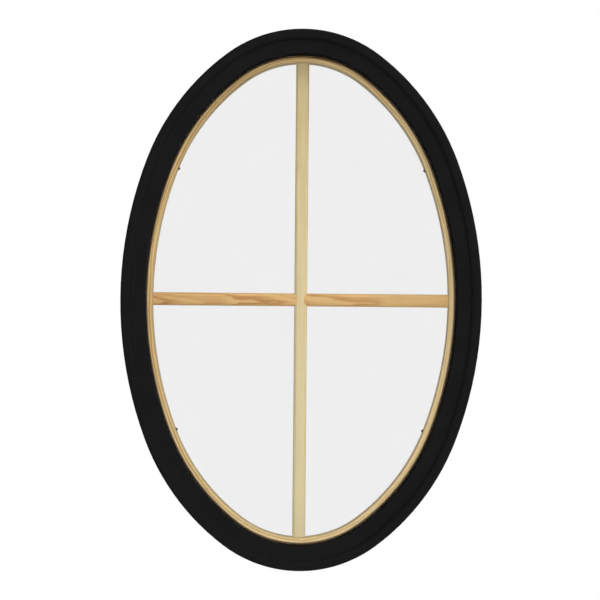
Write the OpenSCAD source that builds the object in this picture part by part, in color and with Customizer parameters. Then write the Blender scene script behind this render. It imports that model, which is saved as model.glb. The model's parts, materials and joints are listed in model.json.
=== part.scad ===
// Oval fixed window: moulded exterior casing, pine jamb, sealed double glazing
// and a removable four-light pine grille. Millimetres, +Z up.
// The exterior faces -Y. The origin is the centre of the oval in the wall plane,
// where the back of the casing lies on the wall.

/* [Overall] */
// Width over the casing
win_w = 609.6; // [480:0.2:760]
// Height over the casing
win_h = 914.4; // [800:0.2:1080]
// Depth of the jamb from the wall plane to the room
jamb_depth = 115.9; // [90:0.1:170]

/* [Exterior casing] */
// Projection of the raised outer band from the wall
band_out = 32; // [31:0.5:40]
// Projection of the lower inner band from the wall
inner_out = 24; // [18:0.5:25]
// Width of the raised outer band, up to where it starts to fall
band_w = 11; // [9:0.5:14]
// Width of the ogee that falls from the outer band to the inner one
ogee_width = 11.6; // [9:0.2:14]
// Radius of the outer front edge
outer_edge_r = 5; // [2:0.5:8]
// Radius of the inner band's edge at the glass
small_edge_r = 2; // [1:0.25:3]
// Overlap of the casing on the wall, beyond the jamb
casing_lap = 15; // [10:0.5:20]
// Depth that the jamb's front edge is let into the back of the casing
rebate_depth = 1.5; // [1:0.25:3]
// Thickness of the tongue that locks the casing in the jamb
tongue_t = 3; // [2:0.5:5]
// Depth of the tongue
tongue_depth = 8; // [5:0.5:12]
// Gap around the tongue in its kerf
tongue_gap = 0.2; // [0.1:0.05:0.5]

/* [Jamb] */
// Thickness of the jamb
jamb_t = 16; // [14:0.5:19]
// Chamfer on the room side of the jamb
jamb_ease = 1.5; // [0.5:0.25:3]

/* [Glazing] */
// Thickness of each pane
pane_t = 3; // [2:0.5:6]
// Space between the panes
air_depth = 13; // [8:0.5:16]
// Gap between the glass edge and the jamb
glass_gap = 2; // [1.5:0.25:3]
// Overlap of the casing on the glass
glass_bite = 8; // [7:0.5:14]
// Width of the seal outside the spacer
seal_w = 2.5; // [2:0.25:4]
// Height of the spacer's section
spacer_h = 6.5; // [4:0.5:8]
// Thickness of the tape behind the casing
tape_t = 2; // [1:0.5:4]
// Width of the tape behind the casing
tape_w = 6; // [4:0.5:7]
// Thickness of the bedding bead on the room side
bead_t = 2; // [1:0.5:4]
// Width of the bedding bead
bead_w = 6; // [4:0.5:7]
// Angle of each setting block from the lowest point
block_angle = 22; // [14:1:28]
// Angle that each setting block covers
block_span = 11; // [6:1:14]

/* [Interior stop] */
// Thickness of the stop, inward from the jamb
stop_t = 10; // [9:0.5:14]
// Depth of the stop
stop_depth = 24; // [20:0.5:32]
// Round on the stop's room edge
stop_edge_r = 4; // [1:0.5:6]
// Diameter of each brad
brad_d = 1.6; // [1.2:0.1:2]
// Diameter of a brad's head
brad_head_d = 2.6; // [2.3:0.1:3.2]
// Thickness of a brad's head
brad_head_h = 0.8; // [0.5:0.1:1.2]
// How far each brad's head is set below the wood
brad_set = 0.3; // [0.1:0.1:0.8]
// How far each brad enters the jamb
brad_bite = 10; // [6:0.5:12]
// Angle above the level of the brads in the side arcs
side_brad_angle = 10; // [4:1:18]
// Angle above the level of the brads in the shoulder arcs
shoulder_brad_angle = 40; // [36:1:48]
// Angle above the level of the brads in the end arcs
end_brad_angle = 72; // [60:1:84]

/* [Grille] */
// Gap between the grille's surround and the stop
grille_gap = 0.4; // [0.2:0.1:1]
// Gap between the surround and the inner pane
pane_gap = 0.8; // [0.3:0.1:0.9]
// Thickness of the surround
surround_t = 10.6; // [8:0.2:14]
// Depth of the surround
surround_depth = 22; // [20:0.5:24]
// Round on the surround's inner edges
surround_edge_r = 2; // [0.5:0.25:4]
// Width of a bar
bar_w = 22.2; // [16:0.1:24]
// Depth of a bar
bar_depth = 16; // [14:0.5:19]
// Width of the flat on the face of a bar
bar_flat = 10.8; // [8:0.2:14]
// Step between the flat and the round of a bar
bar_quirk = 0.8; // [0.4:0.1:1.5]
// Diameter of the dowels
dowel_d = 6; // [4:0.5:7]
// Length of a dowel in the end of a bar
dowel_bite = 20; // [12:1:30]
// Diameter of a grille pin's shank
pin_d = 3; // [2:0.25:4]
// Diameter of a grille pin's head
pin_head_d = 5; // [4.5:0.25:7]
// Height of a grille pin's head
pin_head_h = 3; // [2:0.25:4]
// How far each pin enters the stop
pin_bite = 8; // [5:0.5:8]
// Angle of each pin's axis above the level
pin_angle = 21.5; // [21.5:0.5:32]
// Depth of the flat seat under a pin's head
pin_seat = 0.3; // [0.2:0.1:0.6]
// Clearance around dowels, pins and brads, and around the jamb in the casing
fit_gap = 0.05; // [0.02:0.01:0.15]
// Spare depth at the blind end of a hole
hole_spare = 1; // [0.5:0.1:1.5]

/* [Hidden] */
$fn = 192;
black = "#1c1c1d";
pine = "#d2aa6e";
pale_pine = "#dcc79b";
clear_glass = [0.80, 0.88, 0.86, 0.35];
dark_bronze = "#4a3f39";
seal_black = "#161616";
pin_brown = "#4b4136";
steel = "#9a9a98";

// Distances inward from the outer oval.
jamb_out = casing_lap;
jamb_in = jamb_out + jamb_t;
glass_edge = jamb_in + glass_gap;
casing_w = glass_edge + glass_bite;
spacer_out = glass_edge + seal_w;
spacer_in = spacer_out + spacer_h;
stop_in = jamb_in + stop_t;
surround_out = stop_in + grille_gap;
surround_in = surround_out + surround_t;
tongue_mid = (jamb_out + jamb_in) / 2;
pin_shank = surround_in - pin_seat - stop_in + pin_bite;

// Distances outward from the wall plane, so the room side is negative.
outer_pane_face = -tape_t;
outer_pane_back = outer_pane_face - pane_t;
inner_pane_face = outer_pane_back - air_depth;
inner_pane_back = inner_pane_face - pane_t;
stop_face = inner_pane_back - bead_t;
stop_back = stop_face - stop_depth;
stop_mid = (stop_face + stop_back) / 2;
surround_face = inner_pane_back - pane_gap;
surround_back = surround_face - surround_depth;
grille_mid = (surround_face + surround_back) / 2;

// The oval is eight tangent arcs, close to an ellipse. Two fixed unit directions part the
// side, shoulder and end arcs, and the steps are what the radius loses at each parting.
half_w = win_w / 2;
half_h = win_h / 2;
low_dir = [0.936, 0.352];
high_dir = [0.6, 0.8];
rise = half_h - half_w;
step_grid = 25;
step_share = 1.8;
side_step = step_grid * round(step_share * rise / step_grid);
end_step = (rise - side_step * (low_dir[0] + low_dir[1] - 1)) / (high_dir[0] + high_dir[1] - 1);
end_r = half_w - side_step * (1 - low_dir[0]) - end_step * (1 - high_dir[0]);
shoulder_r = end_r + end_step;
side_r = shoulder_r + side_step;
side_c = [half_w - side_r, 0];
shoulder_c = side_c + side_step * low_dir;
end_c = [0, half_h - end_r];
// How far the partings and the cutting prisms run, clear of the whole window.
reach = 2 * step_grid * ceil(1.2 * side_r / (2 * step_grid));
tall = 4 * jamb_depth;
// Centre, radius and angle of the brads in one quarter.
brad_seats = [
    [side_c, side_r, side_brad_angle],
    [shoulder_c, shoulder_r, shoulder_brad_angle],
    [end_c, end_r, end_brad_angle]
];

// Turns a shape drawn flat, with its exterior side up, to stand in the wall.
module stand() {
    rotate([90, 0, 0]) children();
}

// Repeats the upper right quarter in all four quarters.
module quarters() {
    for (left = [0, 1], low = [0, 1])
        mirror([left, 0, 0]) mirror([0, low, 0]) children();
}

// Triangle with its point at an arc's centre, open between two directions.
module wedge(centre, from_dir, to_dir) {
    polygon([centre, centre + reach * from_dir, centre + reach * to_dir]);
}

function flip_x(v) = [-v[0], v[1]];
function flip_y(v) = [v[0], -v[1]];
function direction(angle) = [cos(angle), sin(angle)];

// Flat oval, set in from the outer one by a distance.
module oval(inset) {
    for (left = [0, 1])
        mirror([left, 0]) intersection() {
            union() {
                intersection() {
                    translate(side_c) circle(side_r - inset);
                    wedge(side_c, flip_y(low_dir), low_dir);
                }
                for (low = [0, 1])
                    mirror([0, low]) intersection() {
                        translate(shoulder_c) circle(shoulder_r - inset);
                        wedge(shoulder_c, low_dir, high_dir);
                    }
            }
            translate([0, -reach]) square([reach, 2 * reach]);
        }
    for (low = [0, 1])
        mirror([0, low]) intersection() {
            translate(end_c) circle(end_r - inset);
            wedge(end_c, high_dir, flip_x(high_dir));
        }
}

// Oval plate between two distances from the wall plane.
module oval_plate(inset, back, face) {
    translate([0, 0, back]) linear_extrude(face - back) oval(inset);
}

// Oval band of rectangular section.
module oval_band(outer, inner, back, face) {
    translate([0, 0, back]) linear_extrude(face - back) difference() {
        oval(outer);
        oval(inner);
    }
}

// One arc of a moulding. The child is its section: inset across, projection up.
module moulding_arc(centre, radius, from_dir, to_dir) {
    intersection() {
        translate(centre) rotate_extrude() translate([radius, 0]) mirror([1, 0]) children();
        linear_extrude(tall, center = true) wedge(centre, from_dir, to_dir);
    }
}

// A moulding that runs round the whole oval.
module oval_moulding() {
    for (left = [0, 1])
        mirror([left, 0, 0]) {
            moulding_arc(side_c, side_r, flip_y(low_dir), low_dir) children();
            for (low = [0, 1])
                mirror([0, low, 0])
                    moulding_arc(shoulder_c, shoulder_r, low_dir, high_dir) children();
        }
    for (low = [0, 1])
        mirror([0, low, 0])
            moulding_arc(end_c, end_r, high_dir, flip_x(high_dir)) children();
}

// Section between two insets and two projections, with both inner corners rounded.
module rounded_section(outer, inner, back, face, back_r, face_r) {
    difference() {
        translate([outer, back]) square([inner - outer, face - back]);
        translate([inner - face_r, face - face_r]) corner_waste(face_r);
        translate([inner - back_r, back + back_r]) mirror([0, 1]) corner_waste(back_r);
    }
}

// What a round of this radius takes off an outer corner.
module corner_waste(r) {
    difference() {
        square(2 * r);
        circle(r);
    }
}

// Puts a child on an arc, with its +Z along the arc's outward radius.
module on_arc(centre, angle, level) {
    translate([centre[0], centre[1], level]) rotate([0, 0, angle]) rotate([0, 90, 0]) children();
}

// Ogee from the outer band down to the inner one: a round and a cove that meet halfway.
module ogee_section() {
    step_h = band_out - inner_out;
    ogee_w = max(ogee_width, step_h);
    ogee_r = (pow(ogee_w, 2) + pow(step_h, 2)) / (4 * step_h);
    half_step = inner_out + step_h / 2;
    square([band_w + ogee_w / 2, half_step]);
    intersection() {
        translate([band_w, band_out - ogee_r]) circle(ogee_r);
        translate([band_w, half_step]) square([ogee_w / 2, step_h / 2]);
    }
    difference() {
        translate([band_w + ogee_w / 2, inner_out]) square([ogee_w / 2, step_h / 2]);
        translate([band_w + ogee_w, inner_out + ogee_r]) circle(ogee_r);
    }
}

module casing_section() {
    difference() {
        union() {
            square([casing_w, inner_out]);
            square([band_w, band_out]);
            ogee_section();
        }
        translate([jamb_out - fit_gap, -rebate_depth])
            square([jamb_t + 2 * fit_gap, 2 * rebate_depth]);
        translate([outer_edge_r, band_out - outer_edge_r]) mirror([1, 0]) corner_waste(outer_edge_r);
        translate([casing_w - small_edge_r, inner_out - small_edge_r]) corner_waste(small_edge_r);
    }
    translate([tongue_mid - tongue_t / 2, -tongue_depth])
        square([tongue_t, tongue_depth + rebate_depth]);
}

module exterior_casing() {
    color(black) stand() oval_moulding() casing_section();
}

module jamb_section() {
    kerf = tongue_t + 2 * tongue_gap;
    difference() {
        polygon([
            [jamb_out, rebate_depth],
            [jamb_in, rebate_depth],
            [jamb_in, jamb_ease - jamb_depth],
            [jamb_in - jamb_ease, -jamb_depth],
            [jamb_out + jamb_ease, -jamb_depth],
            [jamb_out, jamb_ease - jamb_depth]
        ]);
        translate([tongue_mid - kerf / 2, -tongue_depth - tongue_gap])
            square([kerf, 2 * tongue_depth]);
    }
}

module jamb() {
    color(pine) stand() difference() {
        oval_moulding() jamb_section();
        brad_holes();
    }
}

module glazing_tape() {
    color(seal_black) stand()
        oval_band(casing_w - tape_w, casing_w, outer_pane_face, 0);
}

module outer_pane() {
    color(clear_glass) stand() oval_plate(glass_edge, outer_pane_back, outer_pane_face);
}

module spacer_bar() {
    color(dark_bronze) stand() oval_band(spacer_out, spacer_in, inner_pane_face, outer_pane_back);
}

module edge_seal() {
    color(seal_black) stand() oval_band(glass_edge, spacer_out, inner_pane_face, outer_pane_back);
}

module inner_pane() {
    color(clear_glass) stand() oval_plate(glass_edge, inner_pane_back, inner_pane_face);
}

module setting_blocks() {
    color(seal_black) stand() intersection() {
        oval_band(jamb_in, glass_edge, inner_pane_back, outer_pane_face);
        linear_extrude(tall, center = true)
            for (side = [-1, 1])
                wedge(flip_y(end_c), direction(270 + side * block_angle - block_span / 2),
                    direction(270 + side * block_angle + block_span / 2));
    }
}

module bedding_bead() {
    color(seal_black) stand()
        oval_band(stop_in - bead_w, stop_in, stop_face, inner_pane_back);
}

module interior_stop() {
    color(pine) stand() difference() {
        oval_moulding()
            rounded_section(jamb_in, stop_in, stop_back, stop_face, stop_edge_r, jamb_ease);
        brad_holes();
        pin_holes();
    }
}

// Puts a child on the stop's inner wall at every brad, with +Z into the wood.
module at_brads() {
    quarters() for (seat = brad_seats)
        on_arc(seat[0], seat[2], stop_mid) translate([0, 0, seat[1] - stop_in + brad_set]) children();
}

module stop_brads() {
    color(steel) stand() at_brads() {
        cylinder(d = brad_head_d, h = brad_head_h);
        cylinder(d = brad_d, h = stop_t - brad_set + brad_bite);
    }
}

module brad_holes() {
    at_brads() {
        translate([0, 0, -stop_t]) cylinder(d = brad_head_d + 2 * fit_gap, h = stop_t + brad_head_h);
        cylinder(d = brad_d + 2 * fit_gap, h = stop_t - brad_set + brad_bite + hole_spare);
    }
}

module surround_section() {
    rounded_section(surround_out, surround_in, surround_back, surround_face,
        surround_edge_r, surround_edge_r);
}

module grille_surround() {
    color(pine) stand() difference() {
        oval_moulding() surround_section();
        dowel_holes();
        pin_holes();
    }
}

// Section of a bar: a flat on each face, a step and a round down to each side.
module bar_section() {
    round_r = (bar_w - bar_flat) / 2;
    round_y = bar_depth / 2 - bar_quirk - round_r;
    square([bar_flat, bar_depth], center = true);
    square([bar_w, 2 * round_y], center = true);
    for (x = [-1, 1], y = [-1, 1])
        translate([x * bar_flat / 2, y * round_y]) circle(round_r);
}

// Straight bar along +Y through the middle of the grille.
module straight_bar() {
    translate([0, 0, grille_mid]) rotate([90, 0, 0])
        linear_extrude(win_h, center = true) bar_section();
}

// Keeps what lies inside the surround's inner wall.
module inside_surround() {
    intersection() {
        children();
        oval_plate(surround_in, surround_back, surround_face);
    }
}

module vertical_bar() {
    color(pale_pine) stand() difference() {
        inside_surround() straight_bar();
        dowel_holes();
    }
}

// Half of the level bar, its inner end coped to fit the vertical bar.
module level_bar() {
    difference() {
        inside_surround() intersection() {
            rotate([0, 0, 90]) straight_bar();
            translate([0, -bar_w, grille_mid - bar_depth]) cube([half_w, 2 * bar_w, 2 * bar_depth]);
        }
        straight_bar();
        dowel_holes();
    }
}

module left_bar() {
    color(pine) stand() mirror([1, 0, 0]) level_bar();
}

module right_bar() {
    color(pine) stand() level_bar();
}

// A rod along +X at the middle of the grille, from one distance to another.
module rod(from_x, to_x, d) {
    translate([from_x, 0, grille_mid]) rotate([0, 90, 0]) cylinder(d = d, h = to_x - from_x);
}

// The four rods through the surround into the ends of the bars.
module rim_rods(d, spare) {
    for (end = [[0, half_w], [90, half_h], [180, half_w], [270, half_h]])
        rotate([0, 0, end[0]])
            rod(end[1] - surround_in - dowel_bite - spare, end[1] - surround_out + spare, d);
}

// The rod through the crossing.
module cross_rod(d, spare) {
    half_length = bar_w / 2 + dowel_bite + spare;
    rod(-half_length, half_length, d);
}

module dowel_holes() {
    rim_rods(dowel_d + 2 * fit_gap, hole_spare);
    cross_rod(dowel_d + 2 * fit_gap, hole_spare);
}

module rim_dowels() {
    color(pale_pine) stand() intersection() {
        rim_rods(dowel_d, 0);
        oval_plate(surround_out, surround_back, surround_face);
    }
}

module cross_dowel() {
    color(pale_pine) stand() cross_rod(dowel_d, 0);
}

// Puts a child on the head's seat at every pin, with +Z along the shank.
module at_pins() {
    quarters() on_arc(shoulder_c, pin_angle, grille_mid)
        translate([0, 0, shoulder_r - surround_in + pin_seat]) children();
}

module grille_pins() {
    color(pin_brown) stand() at_pins() {
        cylinder(d = pin_d, h = pin_shank);
        translate([0, 0, -pin_head_h]) intersection() {
            cylinder(d = pin_head_d, h = pin_head_h);
            translate([0, 0, pin_head_d]) sphere(pin_head_d);
        }
    }
}

module pin_holes() {
    at_pins() {
        cylinder(d = pin_d + 2 * fit_gap, h = pin_shank + hole_spare);
        translate([0, 0, -pin_head_h]) cylinder(d = pin_head_d + 2 * fit_gap, h = pin_head_h);
    }
}

exterior_casing();
jamb();
glazing_tape();
outer_pane();
spacer_bar();
edge_seal();
inner_pane();
setting_blocks();
bedding_bead();
interior_stop();
stop_brads();
grille_surround();
vertical_bar();
left_bar();
right_bar();
rim_dowels();
cross_dowel();
grille_pins();
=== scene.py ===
"""Dresses a fixed oval window: satin black casing, bent pine rings, coped grille, sealed glass."""

from __future__ import annotations

import json
import logging
import math
from dataclasses import dataclass, field
from enum import Enum
from typing import Any, Iterator, Sequence

import bmesh
import bpy
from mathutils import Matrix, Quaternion, Vector

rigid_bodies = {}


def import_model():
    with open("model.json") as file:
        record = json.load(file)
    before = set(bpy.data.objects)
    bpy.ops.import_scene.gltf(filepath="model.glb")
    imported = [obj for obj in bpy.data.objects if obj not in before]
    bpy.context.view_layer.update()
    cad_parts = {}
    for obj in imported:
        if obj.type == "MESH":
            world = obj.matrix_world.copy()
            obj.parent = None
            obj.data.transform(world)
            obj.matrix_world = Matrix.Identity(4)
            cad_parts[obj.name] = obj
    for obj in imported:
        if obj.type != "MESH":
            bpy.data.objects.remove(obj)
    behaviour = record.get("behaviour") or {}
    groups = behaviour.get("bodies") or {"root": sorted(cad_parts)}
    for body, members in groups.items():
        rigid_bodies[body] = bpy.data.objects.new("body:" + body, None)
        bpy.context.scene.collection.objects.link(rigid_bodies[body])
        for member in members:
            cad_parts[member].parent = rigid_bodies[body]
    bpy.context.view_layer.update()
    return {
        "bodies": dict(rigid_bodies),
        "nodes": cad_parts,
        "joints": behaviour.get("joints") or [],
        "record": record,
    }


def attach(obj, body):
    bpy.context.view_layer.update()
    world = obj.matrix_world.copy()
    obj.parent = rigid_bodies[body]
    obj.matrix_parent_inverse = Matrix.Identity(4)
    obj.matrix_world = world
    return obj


LOG = logging.getLogger("oval_window")
BODY = "root"

Span = tuple[float, float]
Point = tuple[float, float, float]
Colour = tuple[float, float, float, float]
# What an input takes: a socket to link, or a plain number or colour.
Feed = bpy.types.NodeSocket | float | Colour
# A point of the oval and the direction outward there: x, z, direction x, direction z.
Station = tuple[float, float, float, float]
# Centre, radius, first and last angle.
Arc = tuple[Span, float, float, float]

WHITE: Colour = (1.0, 1.0, 1.0, 1.0)
# Noise lies about this value.
NOISE_MIDDLE = 0.5
# Bounces are counted in whole numbers, so this lies between none and one.
HALF_BOUNCE = 0.5
# The display curve: straight up to its knee, a power above it.
FULL_LEVEL = 255.0
CURVE_KNEE = 0.04045
CURVE_SLOPE = 12.92
CURVE_OFFSET = 0.055
CURVE_POWER = 2.4


def display_colour(red: float, green: float, blue: float) -> Colour:
    """Turns a display colour into the linear colour that shaders take.

    Args:
        red: red from 0 to 255.
        green: green from 0 to 255.
        blue: blue from 0 to 255.

    Returns:
        The linear colour, opaque.
    """

    def linear(level: float) -> float:
        """Undoes the display curve of one channel.

        Args:
            level: the channel from 0 to 255.

        Returns:
            The linear share of full light.
        """
        share = level / FULL_LEVEL
        if share <= CURVE_KNEE:
            return share / CURVE_SLOPE
        return ((share + CURVE_OFFSET) / (1.0 + CURVE_OFFSET)) ** CURVE_POWER

    return (linear(red), linear(green), linear(blue), 1.0)


def put_in_scene(name: str, data: bpy.types.ID) -> bpy.types.Object:
    """Makes an object and puts it into the scene.

    Args:
        name: the object's name.
        data: its mesh, light or camera.

    Returns:
        The new object.
    """
    thing = bpy.data.objects.new(name, data)
    bpy.context.scene.collection.objects.link(thing)
    return thing


def keep_mesh(work: bmesh.types.BMesh, name: str) -> bpy.types.Mesh:
    """Turns a working mesh into a mesh that stays, and frees it.

    Args:
        work: the working mesh.
        name: the name of the mesh that stays.

    Returns:
        The mesh that stays.
    """
    mesh = bpy.data.meshes.new(name)
    work.to_mesh(mesh)
    work.free()
    return mesh


class MixKind(Enum):
    """What a Mix node mixes: its data type, and the places of its A, B and result."""

    NUMBER = ("FLOAT", 2, 3, 0)
    COLOUR = ("RGBA", 6, 7, 2)


class SocketKind(Enum):
    """What a socket of a node group carries."""

    NUMBER = "NodeSocketFloat"
    COLOUR = "NodeSocketColor"


class Sheet:
    """A node tree with short ways to add and join its nodes."""

    def __init__(self, tree: bpy.types.NodeTree) -> None:
        """Keeps the tree that the nodes go into."""
        self.tree = tree

    def feed(self, socket: bpy.types.NodeSocket, value: Feed) -> None:
        """Links a socket to another one, or sets its plain value.

        Args:
            socket: the input to feed.
            value: an output socket, a number or a colour.
        """
        if isinstance(value, bpy.types.NodeSocket):
            self.tree.links.new(value, socket)
        else:
            socket.default_value = value

    def add(
        self, kind: str, inputs: dict[str | int, Feed] | None = None, **settings: Any
    ) -> bpy.types.Node:
        """Adds one node.

        Args:
            kind: Blender's name of the node type.
            inputs: what feeds its inputs, by their names or places.
            settings: the node's own settings.

        Returns:
            The new node.
        """
        node = self.tree.nodes.new(kind)
        for name, value in settings.items():
            setattr(node, name, value)
        for name, value in (inputs or {}).items():
            self.feed(node.inputs[name], value)
        return node

    def place(self, group: bpy.types.NodeTree, inputs: dict[str | int, Feed]) -> bpy.types.Node:
        """Puts a node group here with its own values."""
        return self.add("ShaderNodeGroup", inputs, node_tree=group)

    def point(self) -> bpy.types.NodeSocket:
        """Gives the point on the surface, in the object's frame."""
        return self.add("ShaderNodeTexCoord").outputs["Object"]

    def axes(self, vector: Feed) -> list[bpy.types.NodeSocket]:
        """Splits a vector into its x, y and z."""
        return list(self.add("ShaderNodeSeparateXYZ", {"Vector": vector}).outputs)

    def math(self, operation: str, *values: Feed) -> bpy.types.NodeSocket:
        """Adds a Math node with its inputs in order, and gives its result."""
        node = self.add("ShaderNodeMath", dict(enumerate(values)), operation=operation)
        return node.outputs[0]

    def distance(self, first: Feed, second: Feed) -> bpy.types.NodeSocket:
        """Gives the distance across two legs at a right angle."""
        squares = [self.math("MULTIPLY", leg, leg) for leg in (first, second)]
        return self.math("SQRT", self.math("ADD", *squares))

    def choose(self, factor: Feed, low: Feed, high: Feed) -> bpy.types.NodeSocket:
        """Mixes two numbers by a factor."""
        return self._mix(MixKind.NUMBER, factor, low, high)

    def tint(self, factor: Feed, low: Feed, high: Feed) -> bpy.types.NodeSocket:
        """Mixes two colours by a factor."""
        return self._mix(MixKind.COLOUR, factor, low, high)

    def _mix(self, kind: MixKind, factor: Feed, low: Feed, high: Feed) -> bpy.types.NodeSocket:
        """Adds a Mix node.

        Args:
            kind: whether numbers or colours are mixed.
            factor: how much of the second one there is.
            low: the first one.
            high: the second one.

        Returns:
            The socket with the mix.
        """
        data_type, first, second, result = kind.value
        inputs = {0: factor, first: low, second: high}
        return self.add("ShaderNodeMix", inputs, data_type=data_type).outputs[result]

    def mix_shaders(
        self, factor: Feed, first: bpy.types.Node, second: bpy.types.Node
    ) -> bpy.types.NodeSocket:
        """Mixes the shaders of two nodes by a factor."""
        inputs = {0: factor, 1: first.outputs[0], 2: second.outputs[0]}
        return self.add("ShaderNodeMixShader", inputs).outputs[0]

    def ramp(
        self, value: Feed, start: float, end: float, low: float = 0.0, high: float = 1.0
    ) -> bpy.types.NodeSocket:
        """Maps a range of values smoothly onto another.

        Args:
            value: what to map.
            start: where the ramp starts.
            end: where the ramp ends.
            low: the result at the start.
            high: the result at the end.

        Returns:
            The mapped value's socket.
        """
        names = ("Value", "From Min", "From Max", "To Min", "To Max")
        inputs = dict(zip(names, (value, start, end, low, high)))
        node = self.add("ShaderNodeMapRange", inputs, interpolation_type="SMOOTHSTEP")
        return node.outputs["Result"]

    def stretched(
        self, along: Feed, across: Feed, deep: Feed, scales: Point
    ) -> bpy.types.NodeSocket:
        """Joins three distances, each times its scale, into one vector.

        Args:
            along: the distance along the fibres.
            across: the distance across them.
            deep: the distance into the piece.
            scales: their scales, in the same order.

        Returns:
            The vector's socket.
        """
        ways = zip((along, across, deep), scales)
        parts = [self.math("MULTIPLY", way, scale) for way, scale in ways]
        return self.add("ShaderNodeCombineXYZ", dict(zip("XYZ", parts))).outputs[0]

    def noise(
        self, vector: Feed, detail: float, roughness: float = 0.5, scale: float = 1.0
    ) -> bpy.types.NodeSocket:
        """Adds a noise texture and gives its value."""
        inputs = {"Vector": vector, "Scale": scale, "Detail": detail, "Roughness": roughness}
        return self.add("ShaderNodeTexNoise", inputs).outputs["Fac"]


@dataclass(frozen=True)
class OvalPlan:
    """The eight tangent arcs that every ring follows, in metres from the oval's centre."""

    side_radius: float = 0.672
    shoulder_radius: float = 0.397
    end_radius: float = 0.214
    side_centre: Span = (-0.3672, 0.0)
    shoulder_centre: Span = (-0.1098, 0.0968)
    end_centre: Span = (0.0, 0.2432)
    # The outward direction where one arc meets the next.
    low_turn: float = math.atan2(0.352, 0.936)
    high_turn: float = math.atan2(0.8, 0.6)

    def arcs(self) -> list[Arc]:
        """Lists the arcs of the upper right quarter, from the side to the top.

        Returns:
            The three arcs.
        """
        return [
            (self.side_centre, self.side_radius, 0.0, self.low_turn),
            (self.shoulder_centre, self.shoulder_radius, self.low_turn, self.high_turn),
            (self.end_centre, self.end_radius, self.high_turn, math.pi / 2),
        ]

    def quarter_length(self) -> float:
        """Gives the length of a quarter of the outer oval."""
        return sum(radius * (last - first) for _, radius, first, last in self.arcs())

    def stations(self, step: float) -> Iterator[Station]:
        """Walks once round the outer oval.

        Args:
            step: the angle between two stations, in radians.

        Yields:
            Each station.
        """
        quarter: list[Station] = []
        for (cx, cz), radius, first, last in self.arcs():
            count = max(1, round((last - first) / step))
            for index in range(count):
                turn = first + (last - first) * index / count
                dx, dz = math.cos(turn), math.sin(turn)
                quarter.append((cx + radius * dx, cz + radius * dz, dx, dz))
        top = (0.0, self.end_centre[1] + self.end_radius, 0.0, 1.0)
        yield from quarter
        yield top
        yield from ((-x, z, -dx, dz) for x, z, dx, dz in reversed(quarter))
        yield from ((-x, -z, -dx, -dz) for x, z, dx, dz in quarter[1:])
        yield (0.0, -top[1], 0.0, -1.0)
        yield from ((x, -z, dx, -dz) for x, z, dx, dz in reversed(quarter[1:]))


@dataclass(frozen=True)
class PineDetail:
    """What all pine shares. Scales are per metre along, across and into the wood."""

    # Slow wandering of the growth rings, whose rate along the wood is each board's own.
    wander_scale: Point = (1.0, 26.0, 26.0)
    wander_detail: float = 2.0
    # Share of a year in which the late wood darkens, and in which it breaks off.
    late_rise: Span = (0.2, 0.86)
    late_fall: Span = (1.0, 0.9)
    year_strength: Span = (0.25, 1.0)
    fibre_scale: Point = (60.0, 1500.0, 1500.0)
    fibre_detail: float = 3.0
    fibre_roughness: float = 0.6
    tone_scale: Point = (9.0, 150.0, 150.0)
    tone_detail: float = 2.0
    resin_scale: Point = (110.0, 1000.0, 1000.0)
    resin_detail: float = 1.0
    resin_band: Span = (0.66, 0.8)
    # How far each one darkens the wood.
    fibre_dark: float = 0.45
    tone_dark: float = 0.9
    resin_dark: float = 0.22
    # Gloss: where it starts, and what fibres and late wood add.
    smoothest: float = 0.44
    fibre_rough: float = 0.2
    late_rough: float = -0.08
    # Relief: late wood stands up, resin lines are pits.
    late_height: float = 0.35
    resin_pit: float = 0.5


@dataclass(frozen=True)
class SkinDetail:
    """How fine the noise of a skin's patches and pebble is."""

    patch: float = 3.0
    pebble: float = 2.0


@dataclass(frozen=True)
class DustDetail:
    """Where dust lies, by how far a face is turned up, and how it gathers in spots."""

    lies: Span = (0.25, 1.0)
    spots: Span = (0.35, 0.75)
    spot_detail: float = 5.0
    spot_roughness: float = 0.65


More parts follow.
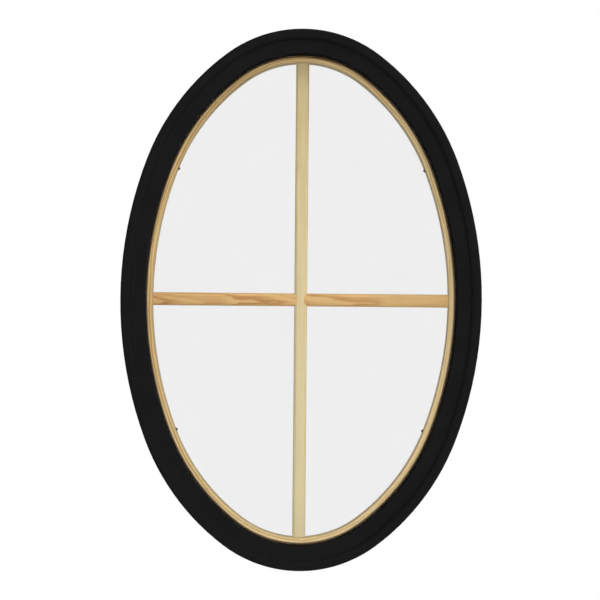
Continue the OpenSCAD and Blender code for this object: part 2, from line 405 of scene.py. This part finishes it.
class SharedEffects:
    """Node groups that more than one material uses, each built once."""

    def __init__(self, plan: OvalPlan) -> None:
        """Builds all the groups.

        Args:
            plan: the arcs that the rings follow.
        """
        self.oval = self._oval_coordinates(plan)
        self.grain = self._pine_grain(PineDetail())
        self.skin = self._fine_skin(SkinDetail())
        self.dust = self._dust_film(DustDetail())

    @staticmethod
    def _open(
        name: str, inputs: dict[str, float | Colour], outputs: dict[str, SocketKind]
    ) -> tuple[Sheet, bpy.types.Node, bpy.types.Node]:
        """Starts a group with named sockets.

        Args:
            name: the group's name.
            inputs: the default of each input, a number or a colour.
            outputs: the kind of each output.

        Returns:
            The group's sheet, its input node and its output node.
        """
        tree = bpy.data.node_groups.new(name, "ShaderNodeTree")
        for label, default in inputs.items():
            kind = SocketKind.NUMBER if isinstance(default, float) else SocketKind.COLOUR
            socket = tree.interface.new_socket(
                name=label, in_out="INPUT", socket_type=kind.value
            )
            socket.default_value = default
        for label, kind in outputs.items():
            tree.interface.new_socket(name=label, in_out="OUTPUT", socket_type=kind.value)
        sheet = Sheet(tree)
        return sheet, sheet.add("NodeGroupInput"), sheet.add("NodeGroupOutput")

    def _oval_coordinates(self, plan: OvalPlan) -> bpy.types.NodeTree:
        """Builds the group that gives the way along the oval and the inset from its outline.

        Args:
            plan: the arcs that the rings follow.

        Returns:
            The group's tree.
        """
        outputs = dict.fromkeys(("Along", "Inset", "Deep"), SocketKind.NUMBER)
        sheet, _, out = self._open("Oval Coordinates", {}, outputs)
        x, y, z = sheet.axes(sheet.point())
        right = sheet.math("ABSOLUTE", x)
        up = sheet.math("ABSOLUTE", z)
        along: Feed | None = None
        inset: Feed | None = None
        passed = 0.0
        for (cx, cz), radius, first, last in plan.arcs():
            dx = sheet.math("SUBTRACT", right, cx)
            dz = sheet.math("SUBTRACT", up, cz)
            turn = sheet.math("ARCTAN2", dz, dx)
            here = sheet.math("MULTIPLY_ADD", turn, radius, passed - radius * first)
            depth = sheet.math("SUBTRACT", radius, sheet.distance(dx, dz))
            if along is None:
                along, inset = here, depth
            else:
                rise = sheet.math("MULTIPLY", dz, math.cos(first))
                fall = sheet.math("MULTIPLY", dx, math.sin(first))
                beyond = sheet.math("SUBTRACT", rise, fall)
                within = sheet.math("GREATER_THAN", beyond, 0.0)
                along = sheet.choose(within, along, here)
                inset = sheet.choose(within, inset, depth)
            passed += radius * (last - first)
        signed = sheet.math("MULTIPLY", sheet.math("SIGN", z), along)
        from_top = sheet.math("SUBTRACT", plan.quarter_length(), signed)
        both_ways = sheet.math("MULTIPLY", sheet.math("SIGN", x), from_top)
        for label, value in (("Along", both_ways), ("Inset", inset), ("Deep", y)):
            sheet.feed(out.inputs[label], value)
        return sheet.tree

    def _pine_grain(self, pine: PineDetail) -> bpy.types.NodeTree:
        """Builds the group for sawn pine: growth rings, fibres and short resin lines.

        Args:
            pine: what all pine shares.

        Returns:
            The group's tree.
        """
        inputs: dict[str, float | Colour] = {
            "Along": 0.0,
            "Across": 0.0,
            "Deep": 0.0,
            "Seed": 0.0,
            "Ring Width": 0.002,
            "Tilt": 0.0,
            "Heart Across": 0.05,
            "Heart Deep": 0.05,
            "Contrast": 0.7,
            "Wander": 0.007,
            "Wander Rate": 7.0,
            "Painted Shade": 0.0,
            "Early Wood": (0.8, 0.65, 0.4, 1.0),
            "Late Wood": (0.6, 0.4, 0.2, 1.0),
        }
        outputs = {
            "Color": SocketKind.COLOUR,
            "Roughness": SocketKind.NUMBER,
            "Height": SocketKind.NUMBER,
        }
        sheet, given, out = self._open("Pine Grain", inputs, outputs)
        read = given.outputs
        start = sheet.math("ADD", read["Along"], read["Seed"])
        across, deep = read["Across"], read["Deep"]

        # Growth rings: circles about the heart of the log, which wander along the board.
        paced = sheet.math("MULTIPLY", start, read["Wander Rate"])
        slow = sheet.stretched(paced, across, deep, pine.wander_scale)
        wander = sheet.math("SUBTRACT", sheet.noise(slow, pine.wander_detail), NOISE_MIDDLE)
        slant = sheet.math("MULTIPLY", read["Tilt"], read["Along"])
        drift = sheet.math("MULTIPLY_ADD", wander, read["Wander"], slant)
        side = sheet.math("ADD", sheet.math("SUBTRACT", across, read["Heart Across"]), drift)
        below = sheet.math("ADD", sheet.math("SUBTRACT", deep, read["Heart Deep"]), drift)
        phase = sheet.math("DIVIDE", sheet.distance(side, below), read["Ring Width"])
        ring = {"W": sheet.math("FLOOR", phase)}
        year = sheet.add("ShaderNodeTexWhiteNoise", ring, noise_dimensions="1D")
        strength = sheet.ramp(year.outputs["Value"], 0.0, 1.0, *pine.year_strength)
        part = sheet.math("FRACT", phase)
        rise, fall = sheet.ramp(part, *pine.late_rise), sheet.ramp(part, *pine.late_fall)
        late = sheet.math("MULTIPLY", sheet.math("MULTIPLY", rise, fall), strength)

        # Fibres, slow changes of tone and resin lines, all drawn out along the board.
        threads = sheet.stretched(start, across, deep, pine.fibre_scale)
        fibre = sheet.noise(threads, pine.fibre_detail, pine.fibre_roughness)
        bands = sheet.stretched(start, across, deep, pine.tone_scale)
        tone = sheet.noise(bands, pine.tone_detail)
        dashes = sheet.stretched(start, across, deep, pine.resin_scale)
        resin = sheet.ramp(sheet.noise(dashes, pine.resin_detail), *pine.resin_band)

        share = sheet.math("MULTIPLY", late, read["Contrast"])
        for layer, dark in ((fibre, pine.fibre_dark), (tone, pine.tone_dark)):
            play = sheet.math("SUBTRACT", layer, NOISE_MIDDLE)
            share = sheet.math("MULTIPLY_ADD", play, dark, share)
        share = sheet.math("MULTIPLY_ADD", resin, pine.resin_dark, share)
        # Painted shade and painted light, by where the board lies, shift the share towards late
        # wood.
        share = sheet.math("ADD", share, read["Painted Shade"])
        share = sheet.add("ShaderNodeClamp", {"Value": share}).outputs["Result"]
        colour = sheet.tint(share, read["Early Wood"], read["Late Wood"])
        rough = sheet.math("MULTIPLY_ADD", fibre, pine.fibre_rough, pine.smoothest)
        rough = sheet.math("MULTIPLY_ADD", late, pine.late_rough, rough)
        pitted = sheet.math("SUBTRACT", fibre, sheet.math("MULTIPLY", resin, pine.resin_pit))
        height = sheet.math("MULTIPLY_ADD", late, pine.late_height, pitted)
        for label, value in (("Color", colour), ("Roughness", rough), ("Height", height)):
            sheet.feed(out.inputs[label], value)
        return sheet.tree

    def _fine_skin(self, fine: SkinDetail) -> bpy.types.NodeTree:
        """Builds the group for a moulded, rolled or extruded skin: slow patches and fine pebble.

        Args:
            fine: how fine its noise is.

        Returns:
            The group's tree.
        """
        inputs = {"Patch Size": 0.08, "Pebble Size": 0.0008, "Stretch": 1.0}
        outputs = dict.fromkeys(("Patch", "Pebble"), SocketKind.NUMBER)
        sheet, given, out = self._open("Fine Skin", inputs, outputs)
        point = sheet.point()
        for label, detail in (("Patch", fine.patch), ("Pebble", fine.pebble)):
            scale = sheet.math("DIVIDE", 1.0, given.outputs[f"{label} Size"])
            wide = sheet.math("MULTIPLY", scale, given.outputs["Stretch"])
            factors = sheet.add("ShaderNodeCombineXYZ", {"X": scale, "Y": wide, "Z": scale})
            both = {0: point, 1: factors.outputs[0]}
            scaled = sheet.add("ShaderNodeVectorMath", both, operation="MULTIPLY")
            sheet.feed(out.inputs[label], sheet.noise(scaled.outputs[0], detail))
        return sheet.tree

    def _dust_film(self, dust: DustDetail) -> bpy.types.NodeTree:
        """Builds the group for the thin dust that lies on faces turned up.

        Args:
            dust: where it lies and how it gathers.

        Returns:
            The group's tree.
        """
        inputs = {"Amount": 0.2, "Spot Size": 0.02}
        sheet, given, out = self._open("Dust Film", inputs, {"Mask": SocketKind.NUMBER})
        _, _, up = sheet.axes(sheet.add("ShaderNodeNewGeometry").outputs["Normal"])
        lying = sheet.ramp(up, *dust.lies)
        scale = sheet.math("DIVIDE", 1.0, given.outputs["Spot Size"])
        both = {0: sheet.point(), "Scale": scale}
        scaled = sheet.add("ShaderNodeVectorMath", both, operation="SCALE")
        cloud = sheet.noise(scaled.outputs[0], dust.spot_detail, dust.spot_roughness)
        film = sheet.math("MULTIPLY", lying, sheet.ramp(cloud, *dust.spots))
        sheet.feed(out.inputs["Mask"], sheet.math("MULTIPLY", film, given.outputs["Amount"]))
        return sheet.tree


class GrainRun(Enum):
    """Which way the fibres of a piece of pine run."""

    RING = "round the oval"
    UPRIGHT = "up the bar"
    LEVEL = "along the level bar"


def start_material(name: str) -> tuple[bpy.types.Material, Sheet, bpy.types.Node]:
    """Starts a material with an empty Principled shader.

    Args:
        name: the material's name.

    Returns:
        The material, its sheet and its Principled node.
    """
    material = bpy.data.materials.new(name)
    material.use_nodes = True
    material.node_tree.nodes.clear()
    sheet = Sheet(material.node_tree)
    shader = sheet.add("ShaderNodeBsdfPrincipled")
    sheet.add("ShaderNodeOutputMaterial", {"Surface": shader.outputs["BSDF"]})
    return material, sheet, shader


@dataclass(frozen=True)
class PaintedEdgeShade:
    """Darker pine at a ring's two edges, all painted shade: a painted shadow of the casing along
    the glass outside, painted shade on the rounded edge inside.
    """

    glass_line: float
    glass_width: float
    face: float
    skin: float
    inner_line: float
    inner_width: float
    glass_shadow: Colour
    inner_shade: Colour
    inner_shade_share: float = 0.75

    def over(self, sheet: Sheet, colour: Feed, inset: Feed, deep: Feed) -> Feed:
        """Lays the painted shade of the two edges over a colour.

        Args:
            sheet: the material's sheet.
            colour: the socket with the pine's colour.
            inset: the socket with the inset from the outline.
            deep: the socket with the distance into the wall.

        Returns:
            The socket with the new colour.
        """
        # Painted shadow of the casing on the front face, along the glass.
        rim = sheet.ramp(inset, self.glass_line, self.glass_line + self.glass_width, 1.0, 0.0)
        front = sheet.ramp(deep, self.face, self.face + self.skin, 1.0, 0.0)
        colour = sheet.tint(sheet.math("MULTIPLY", rim, front), colour, self.glass_shadow)
        # Painted shade where the rounded inner edge turns away from the light.
        inner_start = self.inner_line - self.inner_width
        inner = sheet.ramp(inset, inner_start, self.inner_line, 0.0, self.inner_shade_share)
        return sheet.tint(inner, colour, self.inner_shade)


@dataclass(frozen=True)
class PineFinish:
    """Sanded pine with its own colours, growth rings and direction."""

    name: str
    run: GrainRun
    early: Colour
    late: Colour
    ring_width: float = 0.0022
    tilt: float = 0.0
    heart_across: float = 0.06
    heart_deep: float = 0.02
    contrast: float = 0.7
    seed: float = 0.0
    specular: float = 0.3
    bump: float = 0.35
    relief: float = 0.00012
    wander: float = 0.007
    wander_rate: float = 7.0
    # Painted shade per metre to the right and upwards; below 0 it is painted light.
    painted_shade_right: float = 0.0
    painted_shade_up: float = 0.0
    # Painted shade on a ring's two edges, if any.
    edges: PaintedEdgeShade | None = None

    def make(self, effects: SharedEffects) -> bpy.types.Material:
        """Makes the material.

        Args:
            effects: the shared node groups.

        Returns:
            The new material.
        """
        material, sheet, shader = start_material(self.name)
        along, across, deep = self._ways(sheet, effects)
        grain = sheet.place(effects.grain, {
            "Along": along,
            "Across": across,
            "Deep": deep,
            "Seed": self.seed,
            "Ring Width": self.ring_width,
            "Tilt": self.tilt,
            "Heart Across": self.heart_across,
            "Heart Deep": self.heart_deep,
            "Contrast": self.contrast,
            "Wander": self.wander,
            "Wander Rate": self.wander_rate,
            "Painted Shade": self._painted_shade(sheet),
            "Early Wood": self.early,
            "Late Wood": self.late,
        })
        bump = sheet.add("ShaderNodeBump", {
            "Height": grain.outputs["Height"],
            "Strength": self.bump,
            "Distance": self.relief,
        })
        colour = grain.outputs["Color"]
        # The painted shade of the ring's edges goes over the grain.
        if self.edges is not None:
            colour = self.edges.over(sheet, colour, across, deep)
        sheet.feed(shader.inputs["Base Color"], colour)
        sheet.feed(shader.inputs["Roughness"], grain.outputs["Roughness"])
        sheet.feed(shader.inputs["Normal"], bump.outputs["Normal"])
        sheet.feed(shader.inputs["Specular IOR Level"], self.specular)
        return material

    def _painted_shade(self, sheet: Sheet) -> Feed:
        """Gives the painted shade and light: how much darker the board gets to the right and
        upwards.

        Args:
            sheet: the material's sheet.

        Returns:
            A socket, or 0 for a board without painted shade.
        """
        if self.painted_shade_right == 0.0 and self.painted_shade_up == 0.0:
            return 0.0
        x, _, z = sheet.axes(sheet.point())
        upward = sheet.math("MULTIPLY", z, self.painted_shade_up)
        return sheet.math("MULTIPLY_ADD", x, self.painted_shade_right, upward)

    def _ways(self, sheet: Sheet, effects: SharedEffects) -> tuple[Feed, Feed, Feed]:
        """Gives the distances along, across and into the piece.

        Args:
            sheet: the material's sheet.
            effects: the shared node groups.

        Returns:
            The three sockets.
        """
        if self.run is GrainRun.RING:
            ring = sheet.place(effects.oval, {})
            return ring.outputs["Along"], ring.outputs["Inset"], ring.outputs["Deep"]
        x, y, z = sheet.axes(sheet.point())
        return (z, x, y) if self.run is GrainRun.UPRIGHT else (x, z, y)


@dataclass(frozen=True)
class SkinFinish:
    """A moulded, rolled or extruded skin with fine pebble, patches and a little dust."""

    name: str
    base: Colour
    patch_colour: Colour
    roughness: float
    roughness_play: float = 0.1
    specular: float = 0.3
    metallic: float = 0.0
    patch_size: float = 0.06
    patch_band: Span = (0.3, 0.7)
    pebble_size: float = 0.0009
    stretch: float = 1.0
    bump: float = 0.3
    relief: float = 0.00005
    dust: float = 0.0
    dust_colour: Colour = display_colour(150, 146, 138)
    dust_roughness: float = 0.4

    def make(self, effects: SharedEffects) -> bpy.types.Material:
        """Makes the material.

        Args:
            effects: the shared node groups.

        Returns:
            The new material.
        """
        material, sheet, shader = start_material(self.name)
        skin = sheet.place(effects.skin, {
            "Patch Size": self.patch_size,
            "Pebble Size": self.pebble_size,
            "Stretch": self.stretch,
        })
        film = sheet.place(effects.dust, {"Amount": self.dust}).outputs["Mask"]
        patches = sheet.ramp(skin.outputs["Patch"], *self.patch_band)
        colour = sheet.tint(patches, self.base, self.patch_colour)
        colour = sheet.tint(film, colour, self.dust_colour)
        rough = sheet.math("MULTIPLY_ADD", patches, self.roughness_play, self.roughness)
        rough = sheet.math("MULTIPLY_ADD", film, self.dust_roughness, rough)
        bump = sheet.add("ShaderNodeBump", {
            "Height": skin.outputs["Pebble"],
            "Strength": self.bump,
            "Distance": self.relief,
        })
        sheet.feed(shader.inputs["Base Color"], colour)
        sheet.feed(shader.inputs["Roughness"], rough)
        sheet.feed(shader.inputs["Metallic"], self.metallic)
        sheet.feed(shader.inputs["Specular IOR Level"], self.specular)
        sheet.feed(shader.inputs["Normal"], bump.outputs["Normal"])
        return material


@dataclass(frozen=True)
class GlassFinish:
    """Clear float glass with a faint film on it."""

    name: str
    tint: Colour
    film: Colour
    patch_size: float = 0.09
    patch_band: Span = (0.35, 0.75)
    film_roughness: float = 0.004
    ior: float = 1.5

    def make(self, effects: SharedEffects) -> bpy.types.Material:
        """Makes the material.

        Args:
            effects: the shared node groups.

        Returns:
            The new material.
        """
        material, sheet, shader = start_material(self.name)
        skin = sheet.place(effects.skin, {"Patch Size": self.patch_size})
        patches = sheet.ramp(skin.outputs["Patch"], *self.patch_band)
        rough = sheet.math("MULTIPLY", patches, self.film_roughness)
        sheet.feed(shader.inputs["Base Color"], sheet.tint(patches, self.tint, self.film))
        sheet.feed(shader.inputs["Roughness"], rough)
        sheet.feed(shader.inputs["Metallic"], 0.0)
        sheet.feed(shader.inputs["Transmission Weight"], 1.0)
        sheet.feed(shader.inputs["IOR"], self.ior)
        return material


Finish = PineFinish | SkinFinish | GlassFinish


class Workshop:
    """Holds the CAD nodes and the materials, and dresses pieces with them."""

    def __init__(self, frame: dict[str, Any], effects: SharedEffects) -> None:
        """Keeps what the pieces are dressed with.

        Args:
            frame: the loaded CAD frame.
            effects: the shared node groups.
        """
        self.nodes: dict[str, bpy.types.Object] = frame["nodes"]
        self.effects = effects
        self.made: dict[str, bpy.types.Material] = {}

    def dress(self, piece: bpy.types.Object, finish: Finish) -> None:
        """Gives a piece its finish.

        Args:
            piece: the piece's object.
            finish: what it is made of.
        """
        if finish.name not in self.made:
            self.made[finish.name] = finish.make(self.effects)
        piece.data.materials.clear()
        piece.data.materials.append(self.made[finish.name])
        LOG.info("%s: %s", piece.name, finish.name)

    def dress_node(self, node: str, finish: Finish) -> bpy.types.Object:
        """Gives a CAD node its finish.

        Args:
            node: the node's name.
            finish: what it is made of.

        Returns:
            The node's object.
        """
        piece = self.nodes[node]
        self.dress(piece, finish)
        return piece

    def swept_ring(
        self, name: str, plan: OvalPlan, section: Sequence[Span], step: float
    ) -> bpy.types.Object:
        """Sweeps a closed section once round the oval.

        Args:
            name: the piece's name.
            plan: the arcs to follow.
            section: the section's corners, as inset and distance into the wall.
            step: the angle between two stations, in radians.

        Returns:
            The new piece, on its body.
        """
        work = bmesh.new()
        loops = []
        for x, z, dx, dz in plan.stations(step):
            corners = [(x - inset * dx, deep, z - inset * dz) for inset, deep in section]
            loops.append([work.verts.new(corner) for corner in corners])
        count = len(section)
        for index, loop in enumerate(loops):
            following = loops[(index + 1) % len(loops)]
            for here in range(count):
                after = (here + 1) % count
                corners = (loop[here], following[here], following[after], loop[after])
                work.faces.new(corners).smooth = True
        bmesh.ops.recalc_face_normals(work, faces=work.faces)
        piece = put_in_scene(name, keep_mesh(work, name))
        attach(piece, BODY)
        return piece


SATIN_BLACK = SkinFinish(
    name="satin_black_moulding",
    base=(0.0090, 0.0090, 0.0091, 1.0),
    patch_colour=(0.0104, 0.0103, 0.0104, 1.0),
    roughness=0.74,
    roughness_play=0.06,
    specular=0.02,
    dust=0.012,
)
SEAL_BLACK = SkinFinish(
    name="black_sealant",
    base=(0.006, 0.006, 0.006, 1.0),
    patch_colour=(0.010, 0.010, 0.010, 1.0),
    roughness=0.8,
    specular=0.03,
    patch_size=0.02,
    pebble_size=0.0012,
    dust=0.02,
)
BRONZE_SPACER = SkinFinish(
    name="bronze_spacer",
    base=display_colour(88, 68, 52),
    patch_colour=display_colour(76, 58, 44),
    roughness=0.38,
    specular=0.4,
    metallic=0.6,
    patch_size=0.05,
    stretch=8.0,
)
PIN_BRONZE = SkinFinish(
    name="pin_bronze",
    base=display_colour(70, 62, 50),
    patch_colour=display_colour(58, 50, 40),
    roughness=0.4,
    metallic=0.5,
    patch_size=0.004,
    pebble_size=0.0006,
)
BRIGHT_WIRE = SkinFinish(
    name="bright_wire",
    base=display_colour(176, 175, 172),
    patch_colour=display_colour(150, 149, 146),
    roughness=0.3,
    metallic=1.0,
    patch_size=0.003,
    pebble_size=0.0005,
    stretch=4.0,
)
CLEAR_GLASS = GlassFinish(
    name="clear_glass",
    tint=(0.992, 0.992, 0.992, 1.0),
    film=(0.986, 0.986, 0.986, 1.0),
)
RING_PINE = PineFinish(
    name="bent_pine",
    run=GrainRun.RING,
    early=display_colour(248, 221, 164),
    late=display_colour(194, 154, 88),
    ring_width=0.0042,
    heart_across=0.10,
    heart_deep=0.06,
    contrast=0.85,
    # Painted light towards the right and painted shade towards the top, in place of the lamps'
    # fall-off.
    painted_shade_right=-1.5,
    painted_shade_up=0.45,
    # Painted shadow along the glass and painted shade on the rounded inner edge.
    edges=PaintedEdgeShade(
        glass_line=0.0421,
        glass_width=0.0014,
        face=0.0222,
        skin=0.0015,
        inner_line=0.0518,
        inner_width=0.0024,
        glass_shadow=display_colour(66, 42, 14),
        inner_shade=display_colour(158, 140, 102),
    ),
)
JAMB_PINE = PineFinish(
    name="jamb_pine",
    run=GrainRun.RING,
    early=display_colour(226, 196, 142),
    late=display_colour(190, 146, 88),
    ring_width=0.0045,
    heart_across=0.14,
    heart_deep=0.05,
    seed=3.7,
)
UPRIGHT_PINE = PineFinish(
    name="pale_upright_pine",
    run=GrainRun.UPRIGHT,
    early=display_colour(230, 214, 170),
    late=display_colour(194, 171, 100),
    ring_width=0.0026,
    tilt=0.004,
    heart_across=-0.09,
    heart_deep=0.08,
    seed=1.3,
    # Painted shade towards the top of the bar, where the light falls off.
    painted_shade_up=0.6,
)
LEVEL_PINE = PineFinish(
    name="level_pine",
    run=GrainRun.LEVEL,
    early=display_colour(229, 189, 126),
    late=display_colour(187, 133, 73),
    ring_width=0.0034,
    tilt=0.035,
    heart_across=0.004,
    heart_deep=0.075,
    contrast=0.75,
    seed=7.9,
    wander=0.010,
    wander_rate=9.0,
    # Painted light towards the right.
    painted_shade_right=-0.8,
)
DOWEL_PINE = PineFinish(
    name="dowel_pine",
    run=GrainRun.LEVEL,
    early=display_colour(226, 202, 156),
    late=display_colour(190, 156, 104),
    ring_width=0.0015,
    seed=5.1,
)


@dataclass
class ExteriorCasing:
    """The moulded black casing and the fillet of sealant where it meets the glass."""

    shop: Workshop
    plan: OvalPlan
    inner_inset: float = 0.041
    glass_face: float = 0.002
    fillet: float = 0.0004
    fillet_steps: int = 6
    sweep_step: float = math.radians(1.5)
    sealant: bpy.types.Object | None = None

    def build(self) -> None:
        """Sweeps the sealant's hollow fillet round the casing's inner edge."""
        section = [(self.inner_inset, self.glass_face)]
        for index in range(self.fillet_steps + 1):
            turn = math.pi / 2 * index / self.fillet_steps
            section.append((
                self.inner_inset + self.fillet * (1.0 - math.sin(turn)),
                self.glass_face - self.fillet * (1.0 - math.cos(turn)),
            ))
        self.sealant = self.shop.swept_ring(
            "casing_sealant", self.plan, section, self.sweep_step
        )

    def dress(self) -> None:
        """Gives the casing and its sealant their finishes."""
        self.shop.dress_node("exterior_casing", SATIN_BLACK)
        self.shop.dress(self.sealant, SEAL_BLACK)


@dataclass
class GlazedUnit:
    """The two panes with spacer and seal, and what they are bedded in."""

    shop: Workshop
    panes: tuple[str, ...] = ("outer_pane", "inner_pane")
    bedding: tuple[str, ...] = ("glazing_tape", "edge_seal", "setting_blocks", "bedding_bead")

    def dress(self) -> None:
        """Gives panes, spacer and bedding their finishes."""
        for node in self.panes:
            self.shop.dress_node(node, CLEAR_GLASS).visible_shadow = False
        self.shop.dress_node("spacer_bar", BRONZE_SPACER)
        for node in self.bedding:
            self.shop.dress_node(node, SEAL_BLACK)


@dataclass
class JambAndStop:
    """The pine liner of the wall, the stop that holds the glass and its brads."""

    shop: Workshop

    def dress(self) -> None:
        """Gives jamb, stop and brads their finishes."""
        self.shop.dress_node("jamb", JAMB_PINE)
        self.shop.dress_node("interior_stop", RING_PINE)
        self.shop.dress_node("stop_brads", BRIGHT_WIRE)


@dataclass
class Grille:
    """The removable grille: bent surround, coped bars, dowels and pins."""

    shop: Workshop
    finishes: dict[str, Finish] = field(default_factory=lambda: {
        "grille_surround": RING_PINE,
        "vertical_bar": UPRIGHT_PINE,
        "left_bar": LEVEL_PINE,
        "right_bar": LEVEL_PINE,
        "rim_dowels": DOWEL_PINE,
        "cross_dowel": DOWEL_PINE,
        "grille_pins": PIN_BRONZE,
    })

    def dress(self) -> None:
        """Gives every piece of the grille its finish."""
        for node, finish in self.finishes.items():
            self.shop.dress_node(node, finish)


@dataclass(frozen=True)
class Viewpoint:
    """The camera, a little left of and below the window's axis. Turns are in degrees."""

    distance: float = 3.4
    left_turn: float = 1.05
    low_turn: float = 0.6
    roll: float = 0.5
    pixels_per_metre: float = 593.6
    image_width: float = 600.0
    sensor_width: float = 36.0
    aim: Point = (-0.0023, -0.028, -0.0008)

    def build(self) -> None:
        """Stands the camera where the window is seen from."""
        turn, drop = math.radians(self.left_turn), math.radians(self.low_turn)
        level = math.cos(drop)
        back = Vector((-math.sin(turn) * level, -math.cos(turn) * level, -math.sin(drop)))
        camera = bpy.data.cameras.new("camera")
        camera.sensor_width = self.sensor_width
        camera.lens = (
            self.sensor_width * self.pixels_per_metre * self.distance / self.image_width
        )
        eye = put_in_scene("camera", camera)
        eye.location = Vector(self.aim) + back * self.distance
        eye.rotation_mode = "QUATERNION"
        roll = Quaternion((0.0, 0.0, 1.0), math.radians(self.roll))
        eye.rotation_quaternion = (-back).to_track_quat("-Z", "Y") @ roll
        bpy.context.scene.camera = eye


@dataclass(frozen=True)
class Surroundings:
    """A world that looks white and lights the window at a plain level, most from its front."""

    front_light: float = 0.27
    back_light: float = 0.12
    front_gloss: float = 0.12
    # How far back, from -1 in front to 1 behind, light and reflections change over.
    light_turn: Span = (-0.9, 0.5)
    gloss_turn: Span = (-0.3, 0.2)

    def build(self) -> None:
        """Makes the world."""
        world = bpy.data.worlds.new("studio")
        bpy.context.scene.world = world
        world.use_nodes = True
        world.node_tree.nodes.clear()
        sheet = Sheet(world.node_tree)
        _, behind, _ = sheet.axes(sheet.add("ShaderNodeTexCoord").outputs["Generated"])
        soft = sheet.ramp(behind, *self.light_turn, self.front_light, self.back_light)
        mirrored = sheet.ramp(behind, *self.gloss_turn, self.front_gloss, 1.0)
        path = sheet.add("ShaderNodeLightPath").outputs
        bounced = sheet.math("GREATER_THAN", path["Glossy Depth"], HALF_BOUNCE)
        glossy = sheet.math("MAXIMUM", path["Is Glossy Ray"], bounced)
        level = sheet.choose(glossy, soft, mirrored)
        lit = sheet.add("ShaderNodeBackground", {"Color": WHITE, "Strength": level})
        white = sheet.add("ShaderNodeBackground", {"Color": WHITE, "Strength": 1.0})
        both = sheet.mix_shaders(self._seen(sheet), lit, white)
        sheet.add("ShaderNodeOutputWorld", {"Surface": both})

    @staticmethod
    def _seen(sheet: Sheet) -> bpy.types.NodeSocket:
        """Tells rays that show the surroundings from those that only carry light.

        Args:
            sheet: the world's sheet.

        Returns:
            A socket with 1 for the first and 0 for the second.
        """
        path = sheet.add("ShaderNodeLightPath").outputs
        shown = sheet.math("MAXIMUM", path["Is Camera Ray"], path["Is Transmission Ray"])
        bounces = sheet.math("ADD", path["Diffuse Depth"], path["Glossy Depth"])
        straight = sheet.math("LESS_THAN", bounces, HALF_BOUNCE)
        return sheet.math("MULTIPLY", shown, straight)


@dataclass(frozen=True)
class Floor:
    """A round pale floor that keeps the window's shadow and fades out at its rim."""

    level: float = -0.76
    radius: float = 1.3
    segments: int = 96
    # Shares of the radius between which it fades out.
    fade: Span = (0.5, 0.96)
    colours: tuple[Colour, Colour] = (display_colour(232, 232, 230), display_colour(240, 240, 239))
    mottle_scale: float = 3.0
    mottle_detail: float = 3.0
    roughness: float = 0.9

    def build(self) -> None:
        """Lays the floor."""
        work = bmesh.new()
        bmesh.ops.create_circle(work, cap_ends=True, segments=self.segments, radius=self.radius)
        floor = put_in_scene("floor", keep_mesh(work, "floor"))
        floor.location = (0.0, 0.0, self.level)
        floor.data.materials.append(self._finish())

    def _finish(self) -> bpy.types.Material:
        """Makes the floor's material.

        Returns:
            The new material.
        """
        material, sheet, shader = start_material("pale_floor")
        point = sheet.point()
        mottle = sheet.noise(point, self.mottle_detail, scale=self.mottle_scale)
        sheet.feed(shader.inputs["Base Color"], sheet.tint(mottle, *self.colours))
        sheet.feed(shader.inputs["Roughness"], self.roughness)
        reach = sheet.add("ShaderNodeVectorMath", {0: point}, operation="LENGTH")
        start, end = (share * self.radius for share in self.fade)
        rim = sheet.ramp(reach.outputs["Value"], start, end)
        faded = sheet.mix_shaders(rim, shader, sheet.add("ShaderNodeBsdfTransparent"))
        output = next(node for node in sheet.tree.nodes if node.type == "OUTPUT_MATERIAL")
        sheet.feed(output.inputs["Surface"], faded)
        return material


@dataclass(frozen=True)
class Lamp:
    """A soft square lamp that faces a point."""

    name: str
    place: Point
    size: float
    power: float
    target: Point = (0.0, 0.0, 0.0)
    mirrored: bool = True

    def build(self) -> None:
        """Hangs the lamp."""
        light = bpy.data.lights.new(self.name, "AREA")
        light.shape = "SQUARE"
        light.size = self.size
        light.energy = self.power
        lamp = put_in_scene(self.name, light)
        lamp.location = self.place
        lamp.visible_glossy = self.mirrored
        # The panes throw no shadow, so a lamp's light comes straight through them and mustn't
        # be counted again along the rays that the glass bends.
        lamp.visible_transmission = False
        lamp.visible_camera = False
        lamp.rotation_mode = "QUATERNION"
        aim = Vector(self.target) - Vector(self.place)
        lamp.rotation_quaternion = aim.to_track_quat("-Z", "Y")


@dataclass(frozen=True)
class Studio:
    """Camera, white surroundings, plain pale floor and lamps."""

    viewpoint: Viewpoint = Viewpoint()
    surroundings: Surroundings = Surroundings()
    floor: Floor = Floor()
    lamps: tuple[Lamp, ...] = (
        Lamp("front_lamp", (0.35, -3.7, -0.1), 0.7, 76.0, mirrored=False),
        Lamp("fill_lamp", (-2.2, -2.6, -0.5), 1.2, 12.0, mirrored=False),
        Lamp("key_lamp", (0.6, -1.9, 2.0), 1.2, 18.0),
        Lamp("side_lamp", (3.2, -0.7, 1.6), 1.2, 45.0),
        Lamp("room_lamp", (-0.4, 3.4, 0.5), 1.0, 48.0, mirrored=False),
    )

    def build(self) -> None:
        """Sets up the whole studio."""
        for piece in (self.viewpoint, self.surroundings, self.floor, *self.lamps):
            piece.build()
        bpy.context.scene.view_settings.view_transform = "Standard"


def clear_scene() -> None:
    """Takes away what a new Blender file starts with."""
    for thing in list(bpy.data.objects):
        bpy.data.objects.remove(thing)


def main() -> None:
    """Builds and dresses the window and sets up the studio."""
    logging.basicConfig(level=logging.INFO, format="%(name)s %(message)s")
    clear_scene()
    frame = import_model()
    plan = OvalPlan()
    shop = Workshop(frame, SharedEffects(plan))
    casing = ExteriorCasing(shop, plan)
    casing.build()
    casing.dress()
    for assembly in (GlazedUnit(shop), JambAndStop(shop), Grille(shop)):
        assembly.dress()
    Studio().build()


if __name__ == "__main__":
    main()
